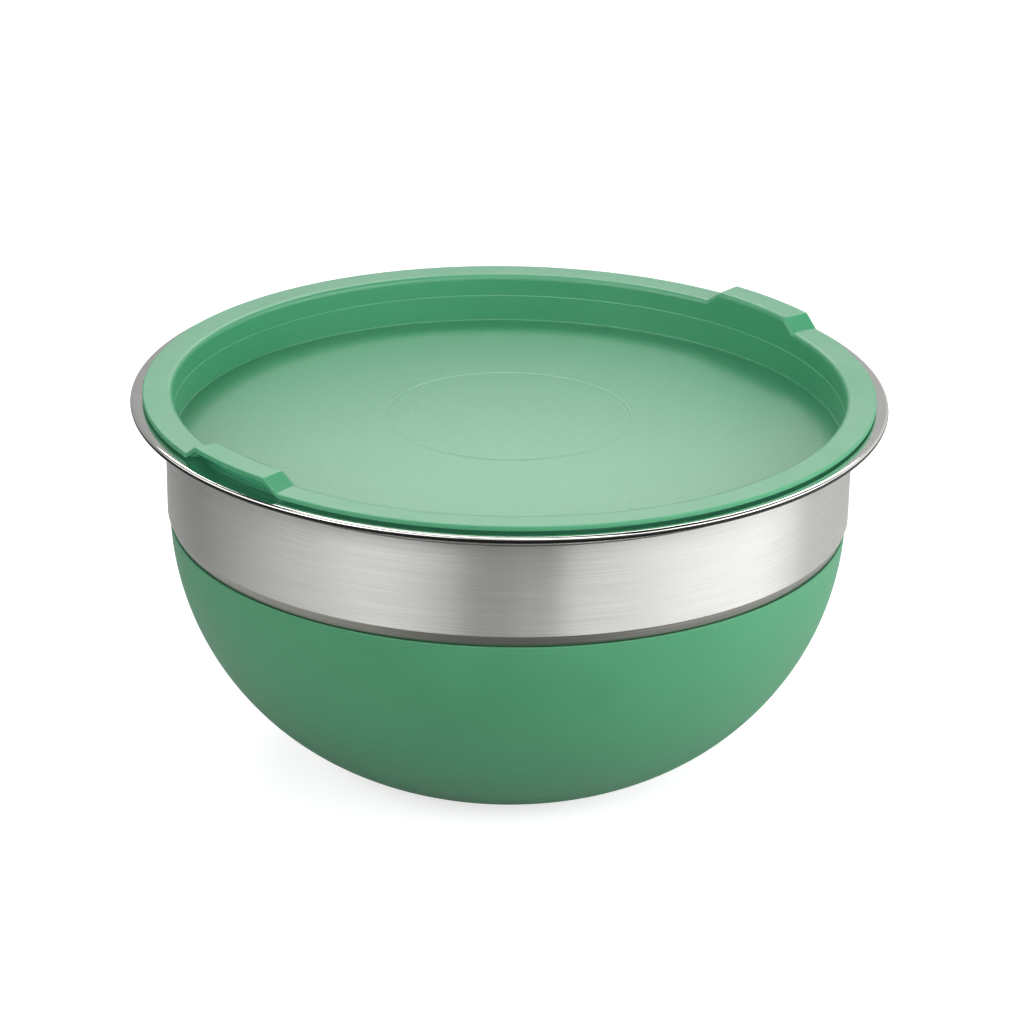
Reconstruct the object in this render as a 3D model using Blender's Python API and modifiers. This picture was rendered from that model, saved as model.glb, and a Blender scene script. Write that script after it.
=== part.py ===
"""Mixing bowl with a plug-in lid, in metres, standing on z = 0 with its axis on Z.

It comes apart into three pieces. steel_bowl is one sheet of stainless steel, drawn into a bowl
and rolled over at the rim. silicone_base is moulded round its lower two thirds and stays on it.
lid is one plastic moulding that plugs into the neck, rests on the rim and lifts straight off by
two finger tabs, which lie on the X axis.
"""

import math

import bmesh
import bpy

# Rim and neck. The rim's height is that of its widest circle.
RIM_RADIUS = 0.155
RIM_HEIGHT = 0.1545
SHEET = 0.0008
CURL_RADIUS = 0.0014
CURL_END_ANGLE = -150
NECK_RADIUS = 0.14085
NECK_BEND = 0.005

# Brushed band: from the neck down to the edge where the sheet steps in for the silicone.
BAND_FOOT_RADIUS = 0.1400
BAND_FOOT_HEIGHT = 0.1079
STEP_RADIUS = 0.1379
JOGGLE_DROP = 0.004

# Belly: one arc in section, seen on the outside of the silicone.
BELLY_RADIUS = 0.115
BELLY_CENTRE_RADIUS = 0.024
BELLY_CENTRE_HEIGHT = 0.1095

# Silicone base.
SLEEVE_TOP_HEIGHT = 0.103
SLEEVE_WALL = 0.002
SLEEVE_FLOOR = 0.003
FOOT_RECESS_RADIUS = 0.045
FOOT_RECESS_DEPTH = 0.0006
FIT_GAP = 0.0003

# Lid. Heights are measured from the rim's widest circle.
LID_RADIUS = 0.150
LID_TOP = 0.0043
LID_PLATE = 0.002
LID_EDGE_ROUND = 0.0006
LID_WALL = 0.0018
PLUG_RADIUS = 0.1394
PLUG_DRAFT = 0.0002
PLUG_DEPTH = 0.018
MOUTH_ROUND = 0.002
WALL_LINE = -0.005
WALL_LINE_STEP = 0.0003
DOME_RISE = 0.010
SEAT_RING_RADII = (0.1435, 0.1465)
SEAT_RING_DEPTH = 0.0006

# Finger tabs, in the lid's turning steps: the distance from a tab's middle to its foot and to its top.
TAB_RISE = 0.0049
TAB_FOOT_STEPS = 4
TAB_TOP_STEPS = 3
LID_STEPS = 132

BOWL_STEPS = 60
BELLY_SEGMENTS = 9
MERGE_DISTANCE = 0.00001


def arc(centre, radius, start, end, segments):
    """Points (r, z) along an arc in section, from one angle to another in degrees."""
    points = []
    for i in range(segments + 1):
        angle = math.radians(start + (end - start) * i / segments)
        points.append((centre[0] + radius * math.cos(angle), centre[1] + radius * math.sin(angle)))
    return points


def belly(inset, top, floor):
    """The belly's arc, set in from the silicone's outside, from height top down to height floor."""
    radius = BELLY_RADIUS - inset
    start = math.degrees(math.asin((top - BELLY_CENTRE_HEIGHT) / radius))
    end = math.degrees(math.asin((floor - BELLY_CENTRE_HEIGHT) / radius))
    return arc((BELLY_CENTRE_RADIUS, BELLY_CENTRE_HEIGHT), radius, start, end, BELLY_SEGMENTS)


def bowl_side(inset, floor):
    """One face of the sheet, from the neck down to the axis, set in from the sheet's outside."""
    joggle_foot = SLEEVE_TOP_HEIGHT - JOGGLE_DROP
    return [
        (NECK_RADIUS - inset, RIM_HEIGHT + CURL_RADIUS - SHEET - NECK_BEND),
        (BAND_FOOT_RADIUS - inset, BAND_FOOT_HEIGHT),
        (STEP_RADIUS - inset, SLEEVE_TOP_HEIGHT),
        *belly(SLEEVE_WALL + FIT_GAP + inset, joggle_foot, floor),
        (0, floor),
    ]


def bowl_outline():
    """Up the inside from the axis, over the rolled rim and down the outside."""
    bottom = SLEEVE_FLOOR + FIT_GAP
    flange_top = RIM_HEIGHT + CURL_RADIUS
    bend_centre = (NECK_RADIUS + NECK_BEND, flange_top - SHEET - NECK_BEND)
    curl_centre = (RIM_RADIUS - CURL_RADIUS, RIM_HEIGHT)
    inside = bowl_side(SHEET, bottom + SHEET)
    return [
        *reversed(inside[1:]),
        *arc(bend_centre, NECK_BEND + SHEET, 180, 90, 4),
        *arc(curl_centre, CURL_RADIUS, 90, CURL_END_ANGLE, 8),
        *arc(curl_centre, CURL_RADIUS - SHEET, CURL_END_ANGLE, 90, 5),
        *arc(bend_centre, NECK_BEND, 90, 180, 4),
        *bowl_side(0, bottom)[1:],
    ]


def sleeve_outline():
    """Up the inside from the axis, over the thin lip and down the outside to the foot."""
    lip_inside = STEP_RADIUS + FIT_GAP
    joggle_foot = SLEEVE_TOP_HEIGHT - JOGGLE_DROP
    outside = belly(0, SLEEVE_TOP_HEIGHT, 0)
    return [
        (0, SLEEVE_FLOOR),
        *reversed(belly(SLEEVE_WALL, joggle_foot, SLEEVE_FLOOR)),
        (lip_inside, SLEEVE_TOP_HEIGHT),
        *outside,
        (FOOT_RECESS_RADIUS, 0),
        (FOOT_RECESS_RADIUS - FOOT_RECESS_DEPTH, FOOT_RECESS_DEPTH),
        (0, FOOT_RECESS_DEPTH),
    ]


def dome(edge_radius, edge_height, segments):
    """The panel's shallow dome, from the axis out to its edge."""
    sphere = (edge_radius**2 + DOME_RISE**2) / (2 * DOME_RISE)
    half = math.degrees(math.asin(edge_radius / sphere))
    centre = (0, edge_height + DOME_RISE - sphere)
    return arc(centre, sphere, 90, 90 - half, segments)


def lid_outline():
    """Out over the panel, up the inner wall, over the flange and back down the plug."""
    panel_edge = LID_PLATE - PLUG_DEPTH
    inner = PLUG_RADIUS - LID_WALL
    mouth_centre = (inner + MOUTH_ROUND, LID_TOP - MOUTH_ROUND)
    edge_centre = (LID_RADIUS - LID_EDGE_ROUND, LID_TOP - LID_EDGE_ROUND)
    underside = LID_TOP - LID_PLATE
    seat_in, seat_out = SEAT_RING_RADII
    seat = underside - SEAT_RING_DEPTH
    return [
        *dome(inner - WALL_LINE_STEP - PLUG_DRAFT, panel_edge, 5),
        (inner - WALL_LINE_STEP, WALL_LINE),
        (inner, WALL_LINE + WALL_LINE_STEP),
        *arc(mouth_centre, MOUTH_ROUND, 180, 90, 3),
        *arc(edge_centre, LID_EDGE_ROUND, 90, 0, 2),
        (LID_RADIUS, underside),
        (seat_out, underside),
        (seat_out, seat),
        (seat_in, seat),
        (seat_in, underside),
        (PLUG_RADIUS, underside),
        (PLUG_RADIUS - PLUG_DRAFT, LID_PLATE / 2 - PLUG_DEPTH),
        (PLUG_RADIUS - LID_PLATE / 2, -PLUG_DEPTH),
        *reversed(dome(PLUG_RADIUS - LID_WALL, -PLUG_DEPTH, 4)),
    ]


def turned(name, outline, steps, height):
    """A turned piece: its outline swept round the Z axis by a Screw modifier."""
    mesh = bpy.data.meshes.new(name)
    points = [(radius, 0, z) for radius, z in outline]
    mesh.from_pydata(points, [(i, i + 1) for i in range(len(points) - 1)], [])
    piece = bpy.data.objects.new(name, mesh)
    piece.location.z = height
    screw = piece.modifiers.new("turn", "SCREW")
    screw.axis = "Z"
    screw.steps = steps
    screw.render_steps = steps
    screw.use_merge_vertices = True
    screw.merge_threshold = MERGE_DISTANCE
    screw.use_smooth_shade = True
    return piece


def frozen(piece):
    """The piece with its modifiers applied, so that its vertices can be moved."""
    graph = bpy.context.evaluated_depsgraph_get()
    mesh = bpy.data.meshes.new_from_object(piece.evaluated_get(graph))
    outline = piece.data
    piece.modifiers.clear()
    piece.data = mesh
    bpy.data.meshes.remove(outline)
    return piece


def tab_lift(x, y):
    """How far the flange is raised at a point: TAB_RISE on top of a tab, and less on its ramps."""
    steps = math.atan2(abs(y), abs(x)) / (2 * math.pi / LID_STEPS)
    ramp = (TAB_FOOT_STEPS - steps) / (TAB_FOOT_STEPS - TAB_TOP_STEPS)
    return TAB_RISE * min(1, max(0, ramp))


def raise_tabs(mesh):
    """Lifts the flange and the top of the plug's wall into the two tabs, hollow underneath."""
    lowest = LID_TOP - LID_PLATE - SEAT_RING_DEPTH
    shape = bmesh.new()
    shape.from_mesh(mesh)
    for vertex in shape.verts:
        if vertex.co.z > lowest - MERGE_DISTANCE:
            vertex.co.z += tab_lift(vertex.co.x, vertex.co.y)
    shape.to_mesh(mesh)
    shape.free()


def finish(name, colour, roughness, metallic):
    """A plain Principled material."""
    material = bpy.data.materials.new(name)
    material.use_nodes = True
    shader = material.node_tree.nodes["Principled BSDF"]
    shader.inputs["Base Color"].default_value = (*colour, 1)
    shader.inputs["Roughness"].default_value = roughness
    shader.inputs["Metallic"].default_value = metallic
    return material


def place(piece, material, collection):
    piece.data.materials.append(material)
    collection.objects.link(piece)


def make_steel_bowl(collection):
    piece = turned("steel_bowl", bowl_outline(), BOWL_STEPS, 0)
    place(piece, finish("brushed_steel", (0.60, 0.60, 0.58), 0.3, 1.0), collection)


def make_silicone_base(collection):
    piece = turned("silicone_base", sleeve_outline(), BOWL_STEPS, 0)
    place(piece, finish("green_silicone", (0.08, 0.27, 0.14), 0.5, 0.0), collection)


def make_lid(collection):
    piece = turned("lid", lid_outline(), LID_STEPS, RIM_HEIGHT)
    place(piece, finish("green_plastic", (0.12, 0.37, 0.20), 0.4, 0.0), collection)
    frozen(piece)
    raise_tabs(piece.data)
    piece.data.set_sharp_from_angle(angle=math.radians(35))


def main():
    for old in list(bpy.data.objects):
        bpy.data.objects.remove(old)
    collection = bpy.data.collections.new("mixing_bowl")
    bpy.context.scene.collection.children.link(collection)
    make_steel_bowl(collection)
    make_silicone_base(collection)
    make_lid(collection)


main()
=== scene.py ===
"""Mixing bowl with a plug-in lid: fine meshes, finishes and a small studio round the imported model.

Three operators make the pieces and one makes the studio; the panel in the sidebar lists them.
The outer sizes come from the frame, and the rest from the settings and the values named here.
Outlines are drawn in section, as corners (radius, height, rounding, finish), and are then swept
round the bowl's axis, which is Z. Lengths are in metres.
"""

import math

import bpy
import numpy as np
from mathutils import Matrix, Vector


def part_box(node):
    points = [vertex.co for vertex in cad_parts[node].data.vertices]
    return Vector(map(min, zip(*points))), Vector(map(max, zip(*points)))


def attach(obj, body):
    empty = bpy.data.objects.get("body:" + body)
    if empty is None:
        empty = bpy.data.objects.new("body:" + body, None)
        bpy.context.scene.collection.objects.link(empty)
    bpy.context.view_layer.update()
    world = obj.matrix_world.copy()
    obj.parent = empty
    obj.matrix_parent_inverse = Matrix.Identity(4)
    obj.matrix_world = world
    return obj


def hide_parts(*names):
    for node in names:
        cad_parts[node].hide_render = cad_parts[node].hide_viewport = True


bl_info = {
    "name": "Mixing Bowl",
    "version": (1, 0, 0),
    "blender": (4, 5, 0),
    "location": "View3D > Sidebar > Mixing Bowl",
    "description": "Builds a steel mixing bowl with a silicone base and a plug-in lid",
    "category": "Object",
}

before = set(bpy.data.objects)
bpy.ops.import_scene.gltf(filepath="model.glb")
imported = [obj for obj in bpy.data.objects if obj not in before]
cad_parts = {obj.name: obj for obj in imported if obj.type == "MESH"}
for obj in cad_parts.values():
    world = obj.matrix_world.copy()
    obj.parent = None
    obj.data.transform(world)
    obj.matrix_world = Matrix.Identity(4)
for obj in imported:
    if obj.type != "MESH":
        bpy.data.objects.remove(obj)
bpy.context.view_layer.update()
STEEL_LOW, STEEL_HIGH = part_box("steel_bowl")
SLEEVE_LOW, SLEEVE_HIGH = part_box("silicone_base")
LID_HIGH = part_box("lid")[1]

UV_NAME = "turning"
STEPS = 360  # round the bowl
ARC_STEP = math.radians(9)  # the largest turn between two points of an arc
ARC_LENGTH = 0.0015  # and the largest distance between them
CORNER_REACH = 0.48  # the share of a side that the rounding of its corner may take
LONG_FLAT = 0.003  # a flat longer than this gets a guard point close to each end
GUARD = 0.00012  # how far from the end that point is


def length(name, text, default):
    """A length that the user may change, in metres."""
    return bpy.props.FloatProperty(
        name=name, description=text, default=default, min=0, precision=5, unit="LENGTH"
    )


def colour(name, text, default):
    """A colour that the user may change."""
    return bpy.props.FloatVectorProperty(
        name=name, description=text, default=default, min=0, max=1, size=3, subtype="COLOR"
    )


def factor(name, text, default):
    """A number from 0 to 1 that the user may change."""
    return bpy.props.FloatProperty(
        name=name, description=text, default=default, min=0, max=1, subtype="FACTOR"
    )


def degrees(name, text, default):
    """An angle that the user may change, with its default in degrees."""
    return bpy.props.FloatProperty(
        name=name, description=text, default=math.radians(default), subtype="ANGLE"
    )


class BowlSettings(bpy.types.PropertyGroup):
    """The steel bowl's shape and finish."""

    sheet: length("Sheet", "Thickness of the steel sheet", 0.0008)
    curl: length("Curl", "Radius of the rolled edge", 0.0014)
    neck: length("Neck", "Outer radius of the wall just under the flange", 0.14085)
    bend: length("Neck bend", "Outer bend radius between wall and flange", 0.005)
    band_foot: length("Band foot", "Outer radius at the foot of the brushed band", 0.1400)
    band_height: length("Band foot height", "Height of the foot of the brushed band", 0.1079)
    step: length("Step", "Outer radius where the sheet has stepped in for the silicone", 0.1379)
    tint: colour("Steel", "Colour of the steel", (0.74, 0.737, 0.71))
    polish: factor("Polish roughness", "Roughness of the polished rim", 0.06)
    brushing: factor("Brushed roughness", "Roughness of the brushed band", 0.42)


class SleeveSettings(bpy.types.PropertyGroup):
    """The silicone base's shape and finish."""

    belly: length("Belly radius", "Radius of the belly's arc in section", 0.115)
    belly_centre: length("Belly centre", "Distance of that arc's centre from the axis", 0.024)
    belly_height: length("Belly centre height", "Height of that arc's centre", 0.1095)
    wall: length("Wall", "Thickness of the silicone", 0.002)
    floor: length("Floor", "Thickness of the silicone under the bowl", 0.003)
    recess: length("Foot recess", "Radius of the shallow recess in the foot", 0.045)
    green: colour("Silicone", "Colour of the silicone", (0.047, 0.210, 0.103))
    gloss: factor("Roughness", "Roughness of the silicone", 0.46)


class LidSettings(bpy.types.PropertyGroup):
    """The lid's shape and finish."""

    plate: length("Plate", "Thickness of the flange", 0.002)
    wall: length("Wall", "Thickness of the plug's wall", 0.0018)
    plug: length("Plug", "Outer radius of the plug", 0.1394)
    dome: length("Dome", "Rise of the panel's dome", 0.010)
    tab_rise: length("Tab rise", "Height of a finger tab above the flange", 0.0049)
    tab_foot: degrees("Tab foot", "Half the angle that a tab covers at its foot", 10.91)
    tab_top: degrees("Tab top", "Half the angle that a tab covers at its top", 8.18)
    green: colour("Plastic", "Colour of the plastic", (0.033, 0.226, 0.105))
    gloss: factor("Roughness", "Roughness of the smooth plastic", 0.42)


class StudioSettings(bpy.types.PropertyGroup):
    """Where the camera stands and looks. The lights and the floor turn with it."""

    turn: degrees("Turn", "Angle of the camera round the bowl", -42)
    elevation: degrees("Elevation", "Angle of the camera above the horizon", 21.89)
    roll: degrees("Roll", "Roll of the camera about its own axis", 0.895)
    distance: length("Distance", "Distance from the camera to the point it looks at", 2.5929)
    lens: bpy.props.FloatProperty(
        name="Lens", description="Focal length", default=221.15, subtype="DISTANCE_CAMERA"
    )
    aim_right: length("Aim right", "How far right of the axis the camera looks", 0.00174)
    aim_down: length("Aim down", "How far under the rim the camera looks", 0.04988)


# ---------------------------------------------------------------- outlines


def arc(centre, radius, start, end, finish):
    """Corners along an arc in section, from one angle to another in degrees."""
    turn = math.radians(end - start)
    count = max(2, math.ceil(abs(turn) / ARC_STEP), math.ceil(radius * abs(turn) / ARC_LENGTH))
    points = []
    for i in range(count + 1):
        angle = math.radians(start) + turn * i / count
        place = (centre[0] + radius * math.cos(angle), centre[1] + radius * math.sin(angle))
        points.append((*place, 0, finish))
    return points


def rounded(corners):
    """Points (radius, height, finish) along an outline, each corner rounded as it says."""
    points = []
    last = len(corners) - 1
    for i, (r, z, rounding, finish) in enumerate(corners):
        if rounding == 0 or i in (0, last):
            points.append((r, z, finish))
            continue
        here = Vector((r, z))
        back = Vector(corners[i - 1][:2]) - here
        ahead = Vector(corners[i + 1][:2]) - here
        opening = back.angle(ahead)
        reach = rounding / math.tan(opening / 2)
        reach = min(reach, CORNER_REACH * back.length, CORNER_REACH * ahead.length)
        start = here + back.normalized() * reach
        end = here + ahead.normalized() * reach
        count = max(2, math.ceil((math.pi - opening) / ARC_STEP))
        for step in range(count + 1):
            share = step / count
            curve = (1 - share) ** 2 * start + 2 * share * (1 - share) * here + share**2 * end
            points.append((curve.x, curve.y, finish))
    return points


def guarded(points):
    """The outline with a point close to each end of every long flat, which keeps it flat."""
    result = []
    for here, ahead in zip(points, points[1:]):
        result.append(here)
        start, end = Vector(here[:2]), Vector(ahead[:2])
        if (end - start).length > LONG_FLAT:
            step = (end - start).normalized() * GUARD
            result.append((*(start + step), here[2]))
            result.append((*(end - step), here[2]))
    result.append(points[-1])
    return result


def even_angles(count):
    """Angles that share a whole turn evenly."""
    return np.arange(count) * (2 * math.pi / count)


def sweep(name, points, angles, finishes, lift=None):
    """Sweeps an outline that starts and ends on the axis through all the angles.

    lift(angle, height) gives how far the points are raised. The UV map holds the turn in U
    and the distance along the outline, in metres, in V.
    """
    points = guarded(points)
    radius = np.array([p[0] for p in points])
    height = np.array([p[1] for p in points])
    run = np.concatenate([[0], np.cumsum(np.hypot(np.diff(radius), np.diff(height)))])
    rings, count = len(angles), len(points) - 2
    vertices = []
    for angle in angles:
        raised = height if lift is None else height + lift(angle, height)
        ring = np.stack([radius * math.cos(angle), radius * math.sin(angle), raised], axis=1)
        vertices.append(ring[1:-1])
    vertices = np.concatenate(vertices)
    poles = [(0, 0, height[0]), (0, 0, height[-1])]
    faces, uvs, slots = [], [], []
    for ring in range(rings):
        after = (ring + 1) % rings
        u0, u1 = ring / rings, (ring + 1) / rings
        a, b = ring * count, after * count
        faces.append((rings * count, a, b))
        uvs += [(u0, run[0]), (u0, run[1]), (u1, run[1])]
        slots.append(finishes.index(points[0][2]))
        for i in range(count - 1):
            faces.append((a + i, a + i + 1, b + i + 1, b + i))
            uvs += [(u0, run[i + 1]), (u0, run[i + 2]), (u1, run[i + 2]), (u1, run[i + 1])]
            slots.append(finishes.index(points[i + 1][2]))
        faces.append((a + count - 1, rings * count + 1, b + count - 1))
        uvs += [(u0, run[-2]), (u0, run[-1]), (u1, run[-2])]
        slots.append(finishes.index(points[-2][2]))
    mesh = bpy.data.meshes.new(name)
    mesh.from_pydata([*map(tuple, vertices), *poles], [], faces)
    layer = mesh.uv_layers.new(name=UV_NAME)
    layer.data.foreach_set("uv", np.array(uvs, np.float32).ravel())
    mesh.polygons.foreach_set("material_index", slots)
    mesh.shade_smooth()
    mesh.update()
    return mesh


def add_piece(name, mesh, materials, body, node):
    """Puts a mesh in the scene as a piece that stands for a node and moves with its body."""
    for material in materials:
        mesh.materials.append(material)
    piece = bpy.data.objects.new(name, mesh)
    bpy.context.scene.collection.objects.link(piece)
    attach(piece, body)
    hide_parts(node)


# ---------------------------------------------------------------- shader helpers


def put(tree, kind, inputs=(), **settings):
    """Adds a node, sets its properties, and links or sets its inputs, given as (name, value)."""
    node = tree.nodes.new(kind)
    for name, value in settings.items():
        setattr(node, name, value)
    for name, value in inputs:
        if isinstance(value, bpy.types.NodeSocket):
            tree.links.new(value, node.inputs[name])
        else:
            node.inputs[name].default_value = value
    return node


def math_node(tree, operation, *values):
    """The result of one sum on values or sockets."""
    return put(tree, "ShaderNodeMath", enumerate(values), operation=operation).outputs[0]


def spread(tree, value, low, high, to_low=0.0, to_high=1.0):
    """Maps low..high to to_low..to_high, held at both ends."""
    inputs = [("Value", value), ("From Min", low), ("From Max", high)]
    inputs += [("To Min", to_low), ("To Max", to_high)]
    return put(tree, "ShaderNodeMapRange", inputs).outputs["Result"]


def mix_colour(tree, share, first, second):
    """The first colour where share is 0 and the second where it is 1."""
    sockets = [(0, share), (6, first), (7, second)]
    return put(tree, "ShaderNodeMix", sockets, data_type="RGBA").outputs[2]


def start_group(name, inputs, outputs):
    """A shader group with float inputs (name, default) and float outputs, and its two ends."""
    tree = bpy.data.node_groups.new(name, "ShaderNodeTree")
    for label, default in inputs:
        socket = tree.interface.new_socket(label, in_out="INPUT", socket_type="NodeSocketFloat")
        socket.default_value = default
    for label in outputs:
        tree.interface.new_socket(label, in_out="OUTPUT", socket_type="NodeSocketFloat")
    return tree, tree.nodes.new("NodeGroupInput").outputs, tree.nodes.new("NodeGroupOutput").inputs


def turned_place(tree, around, along):
    """A coordinate that changes slowly round the bowl and fast along its outline."""
    place = put(tree, "ShaderNodeTexCoord").outputs["Object"]
    xyz = put(tree, "ShaderNodeSeparateXYZ", [(0, place)]).outputs
    run = put(tree, "ShaderNodeUVMap", uv_map=UV_NAME).outputs["UV"]
    distance = put(tree, "ShaderNodeSeparateXYZ", [(0, run)]).outputs[1]
    parts = [(0, math_node(tree, "MULTIPLY", xyz[0], around))]
    parts.append((1, math_node(tree, "MULTIPLY", xyz[1], around)))
    parts.append((2, math_node(tree, "MULTIPLY", distance, along)))
    return put(tree, "ShaderNodeCombineXYZ", parts).outputs[0]


def brushing_group():
    """Lines left by a belt as the piece turned: Fine for the lines, Broad for uneven bands."""
    tree, given, wanted = start_group(
        "Brushing", [("Around", 16.0), ("Along", 2600.0)], ["Fine", "Broad"]
    )
    place = turned_place(tree, given["Around"], given["Along"])
    fine = put(tree, "ShaderNodeTexNoise", [("Vector", place), ("Scale", 1.0), ("Detail", 5.0)])
    tree.links.new(fine.outputs["Fac"], wanted["Fine"])
    slow = math_node(tree, "MULTIPLY", given["Along"], 0.12)
    place = turned_place(tree, given["Around"], slow)
    broad = put(tree, "ShaderNodeTexNoise", [("Vector", place), ("Scale", 1.0), ("Detail", 2.0)])
    tree.links.new(broad.outputs["Fac"], wanted["Broad"])
    return tree


def grain_group():
    """Spark-eroded mould texture: small rounded grains of uneven height."""
    tree, given, wanted = start_group("Spark Grain", [("Scale", 1500.0)], ["Height", "Blotch"])
    place = put(tree, "ShaderNodeTexCoord").outputs["Object"]
    cells = put(tree, "ShaderNodeTexVoronoi", [("Vector", place), ("Scale", given["Scale"])])
    noise = put(tree, "ShaderNodeTexNoise", [("Vector", place), ("Scale", given["Scale"])])
    height = math_node(tree, "ADD", cells.outputs["Distance"], noise.outputs["Fac"])
    tree.links.new(math_node(tree, "MULTIPLY", height, 0.5), wanted["Height"])
    slow = math_node(tree, "MULTIPLY", given["Scale"], 0.02)
    blotch = put(tree, "ShaderNodeTexNoise", [("Vector", place), ("Scale", slow), ("Detail", 3.0)])
    tree.links.new(blotch.outputs["Fac"], wanted["Blotch"])
    return tree


def smudge_group():
    """Faint wiping and handling marks, as a mask."""
    tree, given, wanted = start_group("Smudges", [("Scale", 30.0), ("Amount", 1.0)], ["Mask"])
    place = put(tree, "ShaderNodeTexCoord").outputs["Object"]
    noise = put(
        tree, "ShaderNodeTexNoise",
        [("Vector", place), ("Scale", given["Scale"]), ("Detail", 6.0), ("Distortion", 0.6)],
    )
    mask = spread(tree, noise.outputs["Fac"], 0.45, 0.75)
    tree.links.new(math_node(tree, "MULTIPLY", mask, given["Amount"]), wanted["Mask"])
    return tree


def lint_group():
    """Specks and short fibres of lint, as a mask."""
    tree, given, wanted = start_group("Lint", [("Scale", 90.0), ("Share", 0.12)], ["Mask"])
    place = put(tree, "ShaderNodeTexCoord").outputs["Object"]
    specks = (1.0, 0.045, (1, 1, 1))
    fibres = (0.55, 0.03, (1, 1, 0.16))
    masks = []
    for scale, size, squeeze in (specks, fibres):
        wobble = put(tree, "ShaderNodeTexNoise", [("Vector", place), ("Scale", 60.0)])
        shift = put(
            tree, "ShaderNodeVectorMath", [(0, wobble.outputs["Color"]), ("Scale", 0.004)],
            operation="SCALE",
        )
        moved = put(
            tree, "ShaderNodeVectorMath", [(0, place), (1, shift.outputs[0])], operation="ADD"
        )
        squeezed = put(
            tree, "ShaderNodeVectorMath", [(0, moved.outputs[0]), (1, squeeze)],
            operation="MULTIPLY",
        )
        rate = math_node(tree, "MULTIPLY", given["Scale"], scale)
        cells = put(
            tree, "ShaderNodeTexVoronoi", [("Vector", squeezed.outputs[0]), ("Scale", rate)]
        )
        chance = put(tree, "ShaderNodeSeparateColor", [(0, cells.outputs["Color"])]).outputs[0]
        chosen = math_node(tree, "LESS_THAN", chance, given["Share"])
        near = spread(tree, cells.outputs["Distance"], size, size * 0.4)
        masks.append(math_node(tree, "MULTIPLY", chosen, near))
    tree.links.new(math_node(tree, "MAXIMUM", *masks), wanted["Mask"])
    return tree


def use_group(tree, name, inputs=()):
    """A node that runs a shared group, built on its first use."""
    makers = {
        "Brushing": brushing_group,
        "Spark Grain": grain_group,
        "Smudges": smudge_group,
        "Lint": lint_group,
    }
    group = bpy.data.node_groups.get(name) or makers[name]()
    return put(tree, "ShaderNodeGroup", inputs, node_tree=group).outputs


def new_material(name, base, roughness, **settings):
    """A material's tree and its Principled shader, with the values that are the same all over."""
    material = bpy.data.materials.new(name)
    material.use_nodes = True
    tree = material.node_tree
    shader = tree.nodes["Principled BSDF"]
    shader.inputs["Base Color"].default_value = (*base, 1)
    shader.inputs["Roughness"].default_value = roughness
    for label, value in settings.items():
        shader.inputs[label.replace("_", " ")].default_value = value
    return material, tree, shader


def vary(tree, shader, **sockets):
    """Links what changes over the surface to the shader's inputs of those names."""
    for label, value in sockets.items():
        tree.links.new(value, shader.inputs[label.replace("_", " ")])


def bump(tree, shader, height, distance, strength, before=None):
    """Small relief of a height in 0..1, on top of the relief before it where there is one."""
    inputs = [("Height", height), ("Distance", distance), ("Strength", strength)]
    if before is not None:
        inputs.append(("Normal", before))
    normal = put(tree, "ShaderNodeBump", inputs).outputs["Normal"]
    vary(tree, shader, Normal=normal)
    return normal


# ---------------------------------------------------------------- finishes

LINT_COLOUR = (0.8, 0.9, 0.85)
MILKY = {
    "IOR": 1.65,
    "Subsurface_Weight": 0.4,
    "Subsurface_Radius": (0.5, 1.0, 0.7),
    "Subsurface_Scale": 0.003,
}


def shaded(base, share):
    """A colour with its brightness multiplied, for a socket."""
    return (base[0] * share, base[1] * share, base[2] * share, 1)


def brushed_tangent(tree, shader):
    """Runs the tangent round the axis, so reflections stretch across the brushed lines."""
    tangent = put(tree, "ShaderNodeTangent", direction_type="RADIAL", axis="Z")
    vary(tree, shader, Tangent=tangent.outputs[0])


def brushed_steel(settings):
    """The band's finish, left by a belt as the bowl turned."""
    material, tree, shader = new_material(
        "brushed_steel", settings.tint, settings.brushing,
        Metallic=1.0, Anisotropic=1.0, Anisotropic_Rotation=0.25,
    )
    brushed_tangent(tree, shader)
    lines = use_group(tree, "Brushing", [("Around", 22.0), ("Along", 2600.0)])
    fine = spread(tree, lines["Fine"], 0.3, 0.7, 0.84, 1.0)
    broad = spread(tree, lines["Broad"], 0.35, 0.7, 0.97, 1.0)
    tone = math_node(tree, "MULTIPLY", fine, broad)
    base = mix_colour(tree, tone, shaded(settings.tint, 0), shaded(settings.tint, 1))
    low, high = settings.brushing - 0.03, settings.brushing + 0.03
    vary(tree, shader, Base_Color=base, Roughness=spread(tree, lines["Fine"], 0.3, 0.7, low, high))
    bump(tree, shader, lines["Fine"], 0.00003, 0.2)
    return material


def polished_steel(settings):
    """The rim's mirror finish, with faint turning lines and smudges."""
    material, tree, shader = new_material(
        "polished_steel", settings.tint, settings.polish, Metallic=1.0
    )
    marks = use_group(tree, "Smudges", [("Scale", 55.0)])["Mask"]
    lines = use_group(tree, "Brushing", [("Around", 9.0), ("Along", 900.0)])
    rough = spread(tree, marks, 0.0, 1.0, settings.polish, settings.polish + 0.05)
    share = spread(tree, lines["Fine"], 0.35, 0.7)
    base = mix_colour(tree, share, shaded(settings.tint, 0.95), shaded(settings.tint, 1))
    vary(tree, shader, Base_Color=base, Roughness=rough)
    return material


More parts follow.
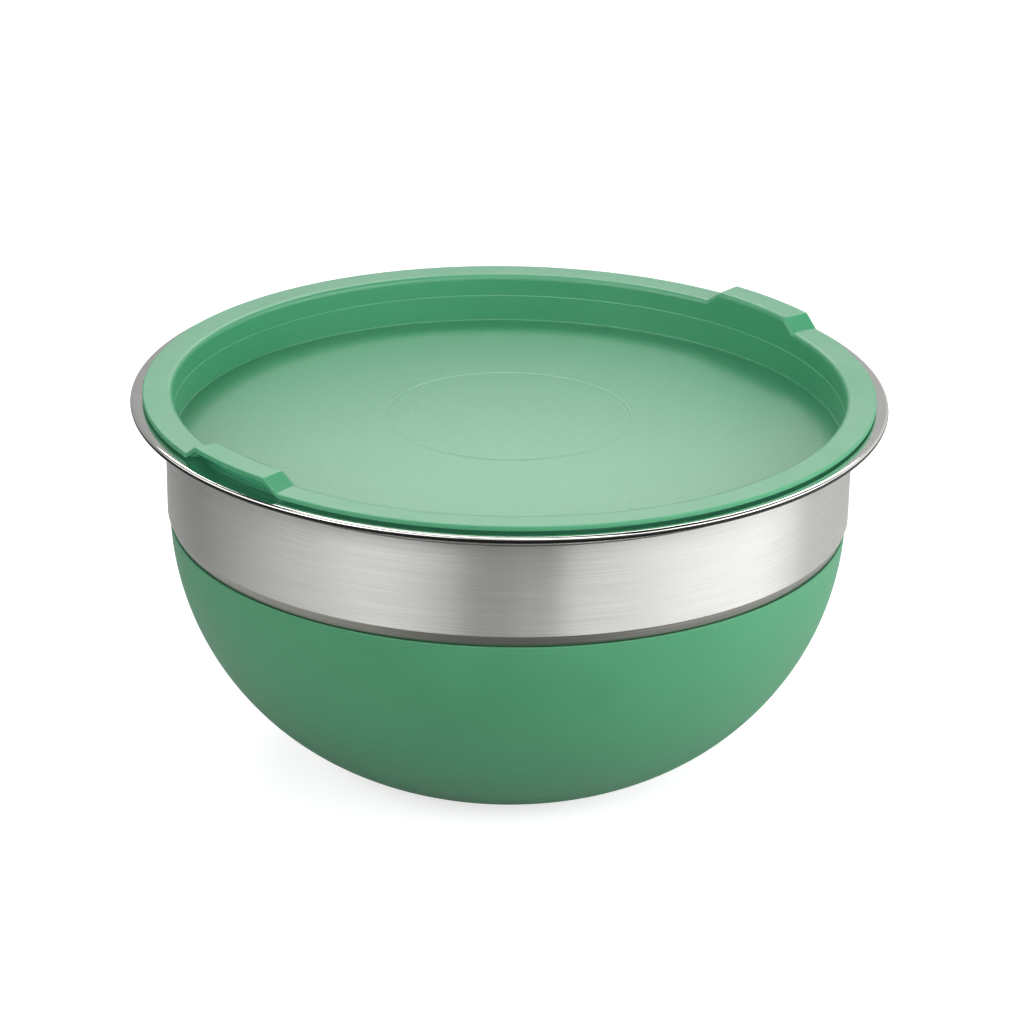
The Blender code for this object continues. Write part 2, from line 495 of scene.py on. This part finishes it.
def satin_steel(settings):
    """The softer finish inside the bowl and under the silicone."""
    material, tree, shader = new_material(
        "satin_steel", settings.tint, 0.3, Metallic=1.0,
        Anisotropic=0.6, Anisotropic_Rotation=0.25,
    )
    brushed_tangent(tree, shader)
    lines = use_group(tree, "Brushing", [("Around", 10.0), ("Along", 1500.0)])
    marks = use_group(tree, "Smudges", [("Scale", 40.0)])["Mask"]
    rough = spread(tree, lines["Broad"], 0.3, 0.7, 0.24, 0.34)
    rough = math_node(tree, "ADD", rough, math_node(tree, "MULTIPLY", marks, 0.02))
    share = spread(tree, lines["Fine"], 0.3, 0.7)
    base = mix_colour(tree, share, shaded(settings.tint, 0.88), shaded(settings.tint, 1))
    vary(tree, shader, Base_Color=base, Roughness=rough)
    bump(tree, shader, lines["Fine"], 0.00002, 0.3)
    return material


def painted_dark_steel(settings):
    """Steel painted darker and warmer: a painted dark reflection on the band's foot chamfer and
    painted shade in the groove under the rim.
    """
    material, tree, shader = new_material(
        "painted_dark_steel", shaded(settings.tint, 0.6)[:3], 0.3, Metallic=1.0
    )
    lines = use_group(tree, "Brushing", [("Around", 12.0), ("Along", 1600.0)])
    red, green, blue = settings.tint
    painted_warm_reflection = (red * 0.58, green * 0.555, blue * 0.51, 1)
    share = spread(tree, lines["Fine"], 0.3, 0.7)
    # Painted reflection: a dark, warm brown-grey tone that stands in for the shaded floor the
    # chamfer reflects.
    base = mix_colour(tree, share, shaded(settings.tint, 0.38), painted_warm_reflection)
    rough = spread(tree, lines["Broad"], 0.3, 0.7, 0.24, 0.38)
    vary(tree, shader, Base_Color=base, Roughness=rough)
    bump(tree, shader, lines["Fine"], 0.00002, 0.3)
    return material


def painted_black_roll_steel(settings):
    """The outer and lower part of the rim's roll, painted nearly black as a painted dark reflection.
    """
    material, tree, shader = new_material(
        "painted_black_roll_steel", shaded(settings.tint, 0.06)[:3], 0.22, Metallic=1.0
    )
    lines = use_group(tree, "Brushing", [("Around", 9.0), ("Along", 900.0)])
    share = spread(tree, lines["Fine"], 0.3, 0.7)
    # Painted dark reflection: nearly black tones, whatever the lamps show.
    base = mix_colour(tree, share, shaded(settings.tint, 0.03), shaded(settings.tint, 0.09))
    rough = spread(tree, lines["Broad"], 0.3, 0.7, 0.18, 0.3)
    vary(tree, shader, Base_Color=base, Roughness=rough)
    return material


def silicone(settings):
    """Soft green silicone with a fine mould grain and a little lint on it."""
    material, tree, shader = new_material("silicone", settings.green, settings.gloss, IOR=1.42)
    grain = use_group(tree, "Spark Grain", [("Scale", 1900.0)])
    lint = use_group(tree, "Lint", [("Scale", 75.0), ("Share", 0.05)])["Mask"]
    share = spread(tree, grain["Blotch"], 0.3, 0.7)
    tone = mix_colour(tree, share, shaded(settings.green, 0.97), shaded(settings.green, 1.03))
    dusty = [0.65 * green + 0.35 * pale for green, pale in zip(settings.green, LINT_COLOUR)]
    base = mix_colour(tree, math_node(tree, "MULTIPLY", lint, 0.5), tone, (*dusty, 1))
    rough = spread(tree, grain["Blotch"], 0.3, 0.7, settings.gloss - 0.03, settings.gloss + 0.04)
    rough = math_node(tree, "ADD", rough, math_node(tree, "MULTIPLY", lint, 0.3))
    vary(tree, shader, Base_Color=base, Roughness=rough)
    fine = bump(tree, shader, grain["Height"], 0.00004, 0.25)
    bump(tree, shader, lint, 0.0001, 0.5, fine)
    return material


def smooth_plastic(settings):
    """The lid's flange and wall: milky plastic with a very fine grain."""
    material, tree, shader = new_material(
        "smooth_plastic", settings.green, settings.gloss, **MILKY
    )
    grain = use_group(tree, "Spark Grain", [("Scale", 900.0)])
    marks = use_group(tree, "Smudges", [("Scale", 35.0)])["Mask"]
    rough = spread(tree, marks, 0.0, 1.0, settings.gloss, settings.gloss + 0.07)
    share = spread(tree, grain["Blotch"], 0.3, 0.7)
    base = mix_colour(tree, share, shaded(settings.green, 0.98), shaded(settings.green, 1.02))
    vary(tree, shader, Base_Color=base, Roughness=rough)
    bump(tree, shader, grain["Height"], 0.00002, 0.12)
    return material


def painted_glow_under_plastic(settings):
    """The smooth underside, with a painted green glow that stands in for the light coming through
    the milky plastic and lifts the shade under the flange.
    """
    material, tree, shader = new_material(
        "painted_glow_under_plastic", settings.green, settings.gloss, IOR=1.5, Emission_Strength=1.0
    )
    grain = use_group(tree, "Spark Grain", [("Scale", 900.0)])
    share = spread(tree, grain["Blotch"], 0.3, 0.7)
    base = mix_colour(tree, share, shaded(settings.green, 0.97), shaded(settings.green, 1.03))
    # Painted glow: green emission that lifts the shade under the flange and in the tab's recess.
    glow = mix_colour(tree, share, (0.014, 0.072, 0.044, 1), (0.017, 0.080, 0.050, 1))
    vary(tree, shader, Base_Color=base, Emission_Color=glow)
    bump(tree, shader, grain["Height"], 0.00002, 0.12)
    return material


def grained_plastic(settings):
    """The lid's panel: milky plastic with a coarser grain."""
    material, tree, shader = new_material(
        "grained_plastic", settings.green, settings.gloss, **MILKY
    )
    grain = use_group(tree, "Spark Grain", [("Scale", 1300.0)])
    low, high = settings.gloss - 0.04, settings.gloss + 0.04
    rough = spread(tree, grain["Height"], 0.2, 0.7, high, low)
    share = spread(tree, grain["Height"], 0.25, 0.7)
    base = mix_colour(tree, share, shaded(settings.green, 0.94), shaded(settings.green, 1.04))
    vary(tree, shader, Base_Color=base, Roughness=rough)
    bump(tree, shader, grain["Height"], 0.00012, 0.5)
    return material


# ---------------------------------------------------------------- steel bowl

FIT_GAP = 0.0003  # between the steel and the silicone
JOGGLE = 0.004  # how far under the silicone's edge the sheet leaves the belly's arc
BAND_TOP_DROP = 0.0079  # from the rim's widest circle down to the groove's foot
GROOVE_HEIGHT = 0.0006
GROOVE_DEPTH = 0.00022
SHEET_BEND = 0.002
FOOT_BEND = 0.012  # between the belly and the flat bottom
# Angles in section, in degrees, where one finish gives way to the next.
BEND_POLISHED = 150
ROLL_POLISHED = 36
ROLL_END = -150


def rim_level(bowl):
    """Height of the rim's widest circle."""
    return STEEL_HIGH.z - bowl.curl


def belly(sleeve, inset, top, floor, finish):
    """The belly's arc, set in from the silicone's outside, from height top down to floor."""
    radius = sleeve.belly - inset
    start = math.degrees(math.asin((top - sleeve.belly_height) / radius))
    end = math.degrees(math.asin((floor - sleeve.belly_height) / radius))
    return arc((sleeve.belly_centre, sleeve.belly_height), radius, start, end, finish)


def bowl_corners(bowl, sleeve):
    """Up the satin inside, over the polished rim and down the brushed band to the hidden foot."""
    bottom = STEEL_LOW.z
    sheet = bowl.sheet
    sleeve_top = SLEEVE_HIGH.z
    joggle_foot = sleeve_top - JOGGLE
    bend_centre = (bowl.neck + bowl.bend, STEEL_HIGH.z - sheet - bowl.bend)
    curl_centre = (STEEL_HIGH.x - bowl.curl, rim_level(bowl))
    slope = (bowl.neck - bowl.band_foot) / (bend_centre[1] - bowl.band_height)
    groove = rim_level(bowl) - BAND_TOP_DROP
    band_radius = bowl.neck - slope * (bend_centre[1] - groove)
    hidden = sleeve.wall + FIT_GAP
    inner = belly(sleeve, hidden + sheet, joggle_foot, bottom + sheet, "satin")
    outer = belly(sleeve, hidden, joggle_foot, bottom, "satin")
    return [
        (0, bottom + sheet, 0, "satin"),
        (*inner[-1][:2], FOOT_BEND, "satin"),
        *reversed(inner[1:-1]),
        (*inner[0][:2], SHEET_BEND, "satin"),
        (bowl.step - sheet, sleeve_top, SHEET_BEND, "satin"),
        (bowl.band_foot - sheet, bowl.band_height, SHEET_BEND, "satin"),
        *arc(bend_centre, bowl.bend + sheet, 180, 90, "polished"),
        *arc(curl_centre, bowl.curl, 90, ROLL_POLISHED, "polished"),
        # The roll's outer and lower arc takes the painted black: a painted dark reflection.
        *arc(curl_centre, bowl.curl, ROLL_POLISHED, ROLL_END, "rolled")[1:],
        *arc(curl_centre, bowl.curl - sheet, ROLL_END, 90, "polished"),
        *arc(bend_centre, bowl.bend, 90, BEND_POLISHED, "polished"),
        *arc(bend_centre, bowl.bend, BEND_POLISHED, 180, "brushed")[1:],
        # From here the groove is painted dark: painted shade in the groove.
        (band_radius, groove + GROOVE_HEIGHT, 0.0003, "dull"),
        (band_radius - GROOVE_DEPTH, groove + GROOVE_HEIGHT / 2, 0.0001, "dull"),
        (band_radius, groove, 0.0002, "brushed"),
        # The chamfer at the band's foot is painted dark and warm: a painted dark reflection of the
        # floor.
        (bowl.band_foot, bowl.band_height, 0.0008, "dull"),
        (bowl.step, sleeve_top, 0.001, "dull"),
        (*outer[0][:2], SHEET_BEND, "satin"),
        *outer[1:-1],
        (*outer[-1][:2], FOOT_BEND, "satin"),
        (0, bottom, 0, "satin"),
    ]


class MIXINGBOWL_OT_steel_bowl(bpy.types.Operator):
    """Make the drawn steel bowl, with its rolled rim, brushed band and satin inside"""

    bl_idname = "mixing_bowl.steel_bowl"
    bl_label = "Steel Bowl"

    def execute(self, context):
        scene = context.scene
        bowl = scene.mixing_bowl_steel
        points = rounded(bowl_corners(bowl, scene.mixing_bowl_sleeve))
        # The rolled and dull finishes carry painted dark reflections and painted shade.
        makers = {
            "satin": satin_steel,
            "polished": polished_steel,
            "brushed": brushed_steel,
            "dull": painted_dark_steel,
            "rolled": painted_black_roll_steel,
        }
        mesh = sweep("pressed_bowl", points, even_angles(STEPS), list(makers))
        materials = [make(bowl) for make in makers.values()]
        add_piece("pressed_bowl", mesh, materials, "bowl", "steel_bowl")
        return {"FINISHED"}


# ---------------------------------------------------------------- silicone base

LIP_HEIGHT = 0.0006  # of the upright inner face of the silicone's upper edge
RECESS_DEPTH = 0.0006  # of the shallow recess in the foot


def sleeve_corners(bowl, sleeve):
    """Up the hidden inside, over the thin lip, down the belly and under the foot."""
    top = SLEEVE_HIGH.z
    low = SLEEVE_LOW.z
    lip = bowl.step + FIT_GAP / 3
    hidden = belly(sleeve, sleeve.wall, top - JOGGLE, low + sleeve.floor, "silicone")
    outside = belly(sleeve, 0, top, low, "silicone")
    return [
        (0, low + sleeve.floor, 0, "silicone"),
        *reversed(hidden),
        (lip, top - LIP_HEIGHT, 0, "silicone"),
        (lip, top, 0.0001, "silicone"),
        (*outside[0][:2], 0.0004, "silicone"),
        *outside[1:-1],
        (*outside[-1][:2], 0.004, "silicone"),
        (sleeve.recess, low, 0.0003, "silicone"),
        (sleeve.recess - RECESS_DEPTH, low + RECESS_DEPTH, 0.0003, "silicone"),
        (0, low + RECESS_DEPTH, 0, "silicone"),
    ]


class MIXINGBOWL_OT_silicone_base(bpy.types.Operator):
    """Make the silicone base that is moulded round the lower part of the bowl"""

    bl_idname = "mixing_bowl.silicone_base"
    bl_label = "Silicone Base"

    def execute(self, context):
        scene = context.scene
        sleeve = scene.mixing_bowl_sleeve
        points = rounded(sleeve_corners(scene.mixing_bowl_steel, sleeve))
        mesh = sweep("moulded_sleeve", points, even_angles(STEPS), ["silicone"])
        add_piece(
            "moulded_sleeve", mesh, [silicone(sleeve)], "bowl", "silicone_base"
        )
        return {"FINISHED"}


# ---------------------------------------------------------------- lid

FLANGE_RISE = 0.0043  # from the rim's widest circle up to the top of the lid's flange
PLUG_DEPTH = 0.018  # and down to the plug's foot
PLUG_DRAFT = 0.0002  # by which the plug is narrower at its foot
MOUTH_ROUND = 0.0024
WALL_LINE_DROP = 0.005  # from the rim's widest circle down to the line on the wall
WALL_LINE_STEP = 0.0003
DOME_STEPS = 110
MARKS = ((0.0277, -0.00005), (0.0500, -0.00011))  # radius and height of the moulded rings
MARK_WIDTH = 0.0009
MARK_FLOOR = (-1 / 6, 1 / 6)  # points of a ring's floor, in widths from its middle
MARK_SIDES = (-0.8, -0.5, 0.5, 0.8)  # and of the panel beside it
MARK_CLEARANCE = 0.0007  # plain points of the panel keep this far from a mark's points
GATE_RADIUS = 0.0022
GATE_HOLLOW = -0.0002
GATE_RING = 0.0001
SEAT_RING = (0.1435, 0.1465)  # inner and outer radius
SEAT_DEPTH = 0.0006
TAB_ROOT = 0.0012  # how far under the flange the plug's wall starts to stay down at a tab
UNDER_START = 0.0008  # how far in from the flange's edge the underside's finish starts
CRISP = 0.0001  # the smallest rounding
LIFT_MARGIN = 1e-6  # keeps the seat ring among the points that a tab raises
FOLD_SOFTNESS = 0.09  # half a fold's rounding, as a share of the tab's slope
FOLD_GUARD = 1.6  # where the points beside a fold stand, in halves of its rounding
# Steps along half the tab's top, over a fold with one on each side of it, down the slope,
# over a second fold with one on each side of it, and on to the quarter turn.
TAB_STEPS = (8, 1, 8, 1, 4, 1, 8, 1, 78)


def dome_height(radius, edge_radius, edge_height, rise):
    """Height of the domed panel at a radius."""
    ball = (edge_radius**2 + rise**2) / (2 * rise)
    return edge_height + rise - ball + math.sqrt(ball**2 - radius**2)


def panel_points(edge_radius, edge_height, rise):
    """The panel's face from its middle to its edge, with the gate and the two moulded rings."""
    marks = {0.0: GATE_HOLLOW, GATE_RADIUS / 2: GATE_RING, GATE_RADIUS: 0.0}
    for ring, height in MARKS:
        for share in MARK_FLOOR:
            marks[ring + MARK_WIDTH * share] = height
        for share in MARK_SIDES:
            marks[ring + MARK_WIDTH * share] = 0.0
    for i in range(1, DOME_STEPS):
        plain = edge_radius * i / DOME_STEPS
        if min(abs(plain - mark) for mark in marks) > MARK_CLEARANCE:
            marks[plain] = 0.0
    return [
        (r, dome_height(r, edge_radius, edge_height, rise) + marks[r], 0, "panel")
        for r in sorted(marks)
    ]


def lid_corners(lid, rim_height):
    """Out over the panel, up the wall, over the flange and back down the plug."""
    top = rim_height + FLANGE_RISE
    radius = LID_HIGH.x
    underside = top - lid.plate
    seat = underside - SEAT_DEPTH
    inner = lid.plug - lid.wall
    plug_foot = rim_height - PLUG_DEPTH
    line = rim_height - WALL_LINE_DROP
    edge = inner - WALL_LINE_STEP - PLUG_DRAFT
    under = [
        (r, dome_height(r, inner, plug_foot, lid.dome), 0, "under")
        for r in np.linspace(inner, 0, DOME_STEPS)
    ]
    return [
        *panel_points(edge, plug_foot + lid.plate, lid.dome),
        (edge, plug_foot + lid.plate, 0.0008, "smooth"),
        (inner - WALL_LINE_STEP, line, 0.00012, "smooth"),
        (inner, line + WALL_LINE_STEP, 0.0002, "smooth"),
        (inner, top, MOUTH_ROUND, "smooth"),
        (radius, top, 0.0006, "smooth"),
        (radius, underside, 0.0004, "smooth"),
        (radius - UNDER_START, underside, 0, "under"),
        (SEAT_RING[1], underside, CRISP, "under"),
        (SEAT_RING[1], seat, CRISP, "under"),
        (SEAT_RING[0], seat, CRISP, "under"),
        (SEAT_RING[0], underside, CRISP, "under"),
        (lid.plug, underside, 0.0005, "under"),
        (lid.plug, underside - TAB_ROOT, 0, "under"),
        (lid.plug - PLUG_DRAFT, plug_foot, 0.0008, "under"),
        *under,
    ]


def soft_ramp(share):
    """0 below 0 and 1 above 1, straight between, with both folds rounded."""
    if share > 0.5:
        return 1.0 - soft_ramp(1.0 - share)
    if share <= -FOLD_SOFTNESS:
        return 0.0
    if share >= FOLD_SOFTNESS:
        return share
    return (share + FOLD_SOFTNESS) ** 2 / (4 * FOLD_SOFTNESS)


def lid_angles(lid):
    """Angles of the sweep, close together across the folds of the two tabs."""
    fold = (lid.tab_foot - lid.tab_top) * FOLD_SOFTNESS
    beside = fold * FOLD_GUARD
    stops = [0]
    for edge in (lid.tab_top, lid.tab_foot):
        stops += [edge - beside, edge - fold, edge + fold, edge + beside]
    stops.append(math.pi / 2)
    quarter = []
    for start, end, count in zip(stops, stops[1:], TAB_STEPS):
        quarter += list(np.linspace(start, end, count, endpoint=False))
    quarter = np.array(quarter)
    half = np.concatenate([quarter, [math.pi / 2], math.pi - quarter[1:][::-1]])
    return np.concatenate([half, half + math.pi])


class MIXINGBOWL_OT_lid(bpy.types.Operator):
    """Make the plug-in lid, with its domed panel and two finger tabs"""

    bl_idname = "mixing_bowl.lid"
    bl_label = "Lid"

    def execute(self, context):
        scene = context.scene
        lid = scene.mixing_bowl_lid
        rim_height = rim_level(scene.mixing_bowl_steel)
        lowest_lifted = rim_height + FLANGE_RISE - lid.plate - SEAT_DEPTH - LIFT_MARGIN

        def lift(angle, height):
            from_tab = math.atan2(abs(math.sin(angle)), abs(math.cos(angle)))
            share = (lid.tab_foot - from_tab) / (lid.tab_foot - lid.tab_top)
            return np.where(height > lowest_lifted, lid.tab_rise * soft_ramp(share), 0.0)

        points = rounded(lid_corners(lid, rim_height))
        makers = {"panel": grained_plastic, "smooth": smooth_plastic, "under": painted_glow_under_plastic}
        mesh = sweep("moulded_lid", points, lid_angles(lid), list(makers), lift)
        materials = [make(lid) for make in makers.values()]
        add_piece("moulded_lid", mesh, materials, "lid", "lid")
        return {"FINISHED"}


# ---------------------------------------------------------------- studio

TENT_RADIUS = 1.3  # of the ring in which the cloths stand
CLOTH_STEP = 4  # degrees of that ring to one facet
WORLD_GREY = 0.02
CARD_GREY = 0.13
FLOOR_SIZE = (14, 14)
FLOOR_GLOW = 0.68

# Places are as the camera sees them: to the right, away from it, and up.
# Cards that only reflections see: name, place, size.
CARDS = (
    ("front_flag", (0.0, -1.4, 0.002), (3.2, 2.48)),
    ("left_flag", (-0.95, 0.7, 0.002), (1.1, 1.72)),
)
# Cloths: name, start and end angle, low and high edge, and the glow as
# (angle of the lamp's spot, height of it, reach, peak, glow far from it). The slit is a
# narrow one, for the bright upright line on the band.
CLOTHS = (
    ("left_cloth", -118, -14.6, 0.35, 1.25, (-42, 0.75, 0.7, 5.3, 0.1)),
    ("front_cloth", -14.6, 17, 0.25, 1.45, (1, 0.8, 2.0, 1.25, 1.1)),
    ("right_cloth", 17, 104, 0.03, 1.25, (62, 0.45, 1.1, 3.7, 0.3)),
    ("back_cloth", 104, 242, 0.0, 0.9, (112, 0.4, 0.8, 1.15, 0.3)),
    ("slit", 5.6, 6.8, 0.0, 0.25, (6, 0.1, 1.0, 3.0, 2.8)),
)
# Lights: name, place, the point it faces, size, radiance, whether reflections show it.
LIGHTS = (
    ("back_light", (0, 1.15, 0.99), (0, 0, 0.15), (1.6, 0.55), 5.45, True),
    ("top_light", (0.02, -0.45, 1.4), (0.02, -0.45, 0), (0.6, 2.1), 2.4, True),
    ("right_fill", (1.0, -0.2, 0.3), (0, 0, 0.1), (0.6, 0.5), 5.0, False),
)


def studio_place(settings, right, away, up):
    """A point given as the camera sees it: to the right, away from the camera, and up."""
    turned = Matrix.Rotation(settings.turn, 3, "Z")
    return turned @ Vector((right, away, up))


def add_camera(scene, settings):
    """The camera, aimed at a point under the rim."""
    rim_height = rim_level(scene.mixing_bowl_steel)
    aim = studio_place(settings, settings.aim_right, 0, rim_height - settings.aim_down)
    rise = math.sin(settings.elevation) * settings.distance
    back = math.cos(settings.elevation) * settings.distance
    data = bpy.data.cameras.new("camera")
    data.lens = settings.lens
    data.clip_end = 50
    camera = bpy.data.objects.new("camera", data)
    scene.collection.objects.link(camera)
    camera.location = aim + studio_place(settings, 0, -back, rise)
    looking = (aim - camera.location).to_track_quat("-Z", "Y").to_matrix()
    roll = Matrix.Rotation(settings.roll, 3, "Z")
    camera.rotation_euler = (looking @ roll).to_euler()
    scene.camera = camera


def add_softbox(scene, settings, name, place, aim, size, radiance, mirrored):
    """A rectangular light of even radiance, where 1 looks white; reflections show it if mirrored."""
    data = bpy.data.lights.new(name, "AREA")
    data.shape = "RECTANGLE"
    data.size, data.size_y = size
    data.energy = radiance * math.pi * size[0] * size[1]
    light = bpy.data.objects.new(name, data)
    scene.collection.objects.link(light)
    light.location = studio_place(settings, *place)
    towards = studio_place(settings, *aim) - light.location
    light.rotation_euler = towards.to_track_quat("-Z", "Y").to_euler()
    light.visible_camera = False
    light.visible_glossy = mirrored


def add_card(scene, settings, name, place, size, material):
    """A card lying flat, level with the floor or just above it."""
    mesh = bpy.data.meshes.new(name)
    w, h = size[0] / 2, size[1] / 2
    mesh.from_pydata([(-w, -h, 0), (w, -h, 0), (w, h, 0), (-w, h, 0)], [], [(0, 1, 2, 3)])
    mesh.materials.append(material)
    card = bpy.data.objects.new(name, mesh)
    scene.collection.objects.link(card)
    card.location = studio_place(settings, *place)
    card.rotation_euler.z = settings.turn
    return card


def diffuser_material(name, spot, reach, peak, low):
    """Cloth lit from behind: brightest at the lamp's spot, fading to an even glow."""
    material, tree, shader = new_material(
        name, (0, 0, 0), 1.0, Emission_Strength=1.0, Specular_IOR_Level=0.0
    )
    place = put(tree, "ShaderNodeTexCoord").outputs["Object"]
    away = put(tree, "ShaderNodeVectorMath", [(0, place), (1, spot)], operation="DISTANCE")
    share = math_node(tree, "DIVIDE", away.outputs["Value"], reach)
    fall = math_node(tree, "ADD", math_node(tree, "MULTIPLY", share, share), 1.0)
    glow = math_node(tree, "ADD", math_node(tree, "DIVIDE", peak - low, fall), low)
    white = put(tree, "ShaderNodeCombineColor", [(0, glow), (1, glow), (2, glow)]).outputs[0]
    vary(tree, shader, Emission_Color=white)
    return material


def add_diffuser(scene, settings, name, start, end, low, high, glow):
    """An upright curved cloth round the bowl; angles are from the camera, to the right."""
    spot_angle, spot_height, reach, peak, base = glow
    count = math.ceil((end - start) / CLOTH_STEP)
    vertices = []
    for i in range(count + 1):
        angle = math.radians(start + (end - start) * i / count)
        x, y = TENT_RADIUS * math.sin(angle), -TENT_RADIUS * math.cos(angle)
        vertices += [(x, y, low), (x, y, high)]
    faces = [(2 * i, 2 * i + 1, 2 * i + 3, 2 * i + 2) for i in range(count)]
    mesh = bpy.data.meshes.new(name)
    mesh.from_pydata(vertices, [], faces)
    angle = math.radians(spot_angle)
    spot = (TENT_RADIUS * math.sin(angle), -TENT_RADIUS * math.cos(angle), spot_height)
    mesh.materials.append(diffuser_material(name, spot, reach, peak, base))
    cloth = bpy.data.objects.new(name, mesh)
    scene.collection.objects.link(cloth)
    cloth.rotation_euler.z = settings.turn
    cloth.visible_camera = False


def floor_material():
    """A mid-grey floor. Only the camera sees its white glow, so the glow lights nothing."""
    material, tree, shader = new_material(
        "pale_floor", (0.5, 0.5, 0.5), 0.75, Emission_Strength=FLOOR_GLOW
    )
    place = put(tree, "ShaderNodeTexCoord").outputs["Object"]
    noise = put(tree, "ShaderNodeTexNoise", [("Vector", place), ("Scale", 3.0)])
    tone = mix_colour(tree, noise.outputs["Fac"], (0.49, 0.49, 0.49, 1), (0.51, 0.51, 0.51, 1))
    seen = put(tree, "ShaderNodeLightPath").outputs["Is Camera Ray"]
    vary(tree, shader, Base_Color=tone, Emission_Color=seen)
    return material


class MIXINGBOWL_OT_studio(bpy.types.Operator):
    """Make the pale floor, the soft lights and the camera"""

    bl_idname = "mixing_bowl.studio"
    bl_label = "Studio"

    def execute(self, context):
        scene = context.scene
        settings = scene.mixing_bowl_studio
        add_camera(scene, settings)
        scene.view_settings.view_transform = "Standard"
        world = bpy.data.worlds.new("studio")
        world.use_nodes = True
        background = world.node_tree.nodes["Background"].inputs["Color"]
        background.default_value = (WORLD_GREY, WORLD_GREY, WORLD_GREY, 1)
        scene.world = world
        add_card(scene, settings, "floor", (0, 0, 0), FLOOR_SIZE, floor_material())
        grey = new_material("grey_card", (CARD_GREY, CARD_GREY, CARD_GREY), 0.9)[0]
        for row in CARDS:
            card = add_card(scene, settings, *row, grey)
            card.visible_camera = False
            card.visible_diffuse = False
            card.visible_shadow = False
        for row in CLOTHS:
            add_diffuser(scene, settings, *row)
        for row in LIGHTS:
            add_softbox(scene, settings, *row)
        return {"FINISHED"}


# ---------------------------------------------------------------- panel and run

OPERATORS = (
    MIXINGBOWL_OT_steel_bowl,
    MIXINGBOWL_OT_silicone_base,
    MIXINGBOWL_OT_lid,
    MIXINGBOWL_OT_studio,
)
SETTINGS = {
    "mixing_bowl_steel": BowlSettings,
    "mixing_bowl_sleeve": SleeveSettings,
    "mixing_bowl_lid": LidSettings,
    "mixing_bowl_studio": StudioSettings,
}


class MIXINGBOWL_PT_pieces(bpy.types.Panel):
    """The bowl's pieces and their settings"""

    bl_idname = "MIXINGBOWL_PT_pieces"
    bl_label = "Mixing Bowl"
    bl_space_type = "VIEW_3D"
    bl_region_type = "UI"
    bl_category = "Mixing Bowl"

    def draw(self, context):
        for operator, name in zip(OPERATORS, SETTINGS):
            box = self.layout.box()
            box.operator(operator.bl_idname)
            settings = getattr(context.scene, name)
            for label in settings.bl_rna.properties.keys():
                if label not in ("rna_type", "name"):
                    box.prop(settings, label)


def register():
    for cls in (*SETTINGS.values(), *OPERATORS, MIXINGBOWL_PT_pieces):
        bpy.utils.register_class(cls)
    for name, group in SETTINGS.items():
        setattr(bpy.types.Scene, name, bpy.props.PointerProperty(type=group))


def unregister():
    for name in SETTINGS:
        delattr(bpy.types.Scene, name)
    for cls in (MIXINGBOWL_PT_pieces, *reversed(OPERATORS), *SETTINGS.values()):
        bpy.utils.unregister_class(cls)


def main():
    register()
    for make in (
        bpy.ops.mixing_bowl.steel_bowl,
        bpy.ops.mixing_bowl.silicone_base,
        bpy.ops.mixing_bowl.lid,
        bpy.ops.mixing_bowl.studio,
    ):
        if make() != {"FINISHED"}:
            raise RuntimeError("a piece or the studio was not made")


if __name__ == "__main__":
    main()
